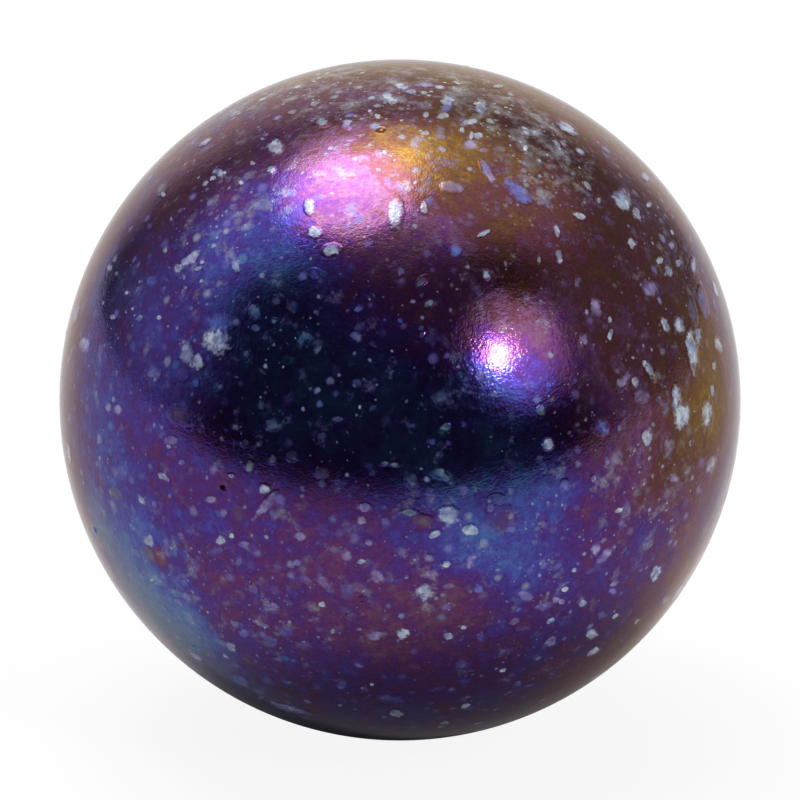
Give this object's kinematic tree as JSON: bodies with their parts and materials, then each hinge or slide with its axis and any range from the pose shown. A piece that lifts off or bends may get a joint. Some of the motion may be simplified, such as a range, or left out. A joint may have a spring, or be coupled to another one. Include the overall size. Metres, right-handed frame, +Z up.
{
  "type": "glass marble",
  "caption": "Solid round glass marble: near-black blue glass with clouds, chips and small burst bubbles of coloured glass melted into its skin.",
  "frame": {"origin": "centre of the ball", "axes": "+Z up as pictured; the pictured side faces -Y and is tilted 20 degrees up; +X to the viewer's right"},
  "size_m": [0.025, 0.025, 0.025],
  "materials": {
    "speckled_glass": "fire-polished opaque dark glass with a thin metallic-coloured fume film and pale glass speckle"
  },
  "bodies": {
    "root": {"marble": "speckled_glass"}
  },
  "joints": []
}
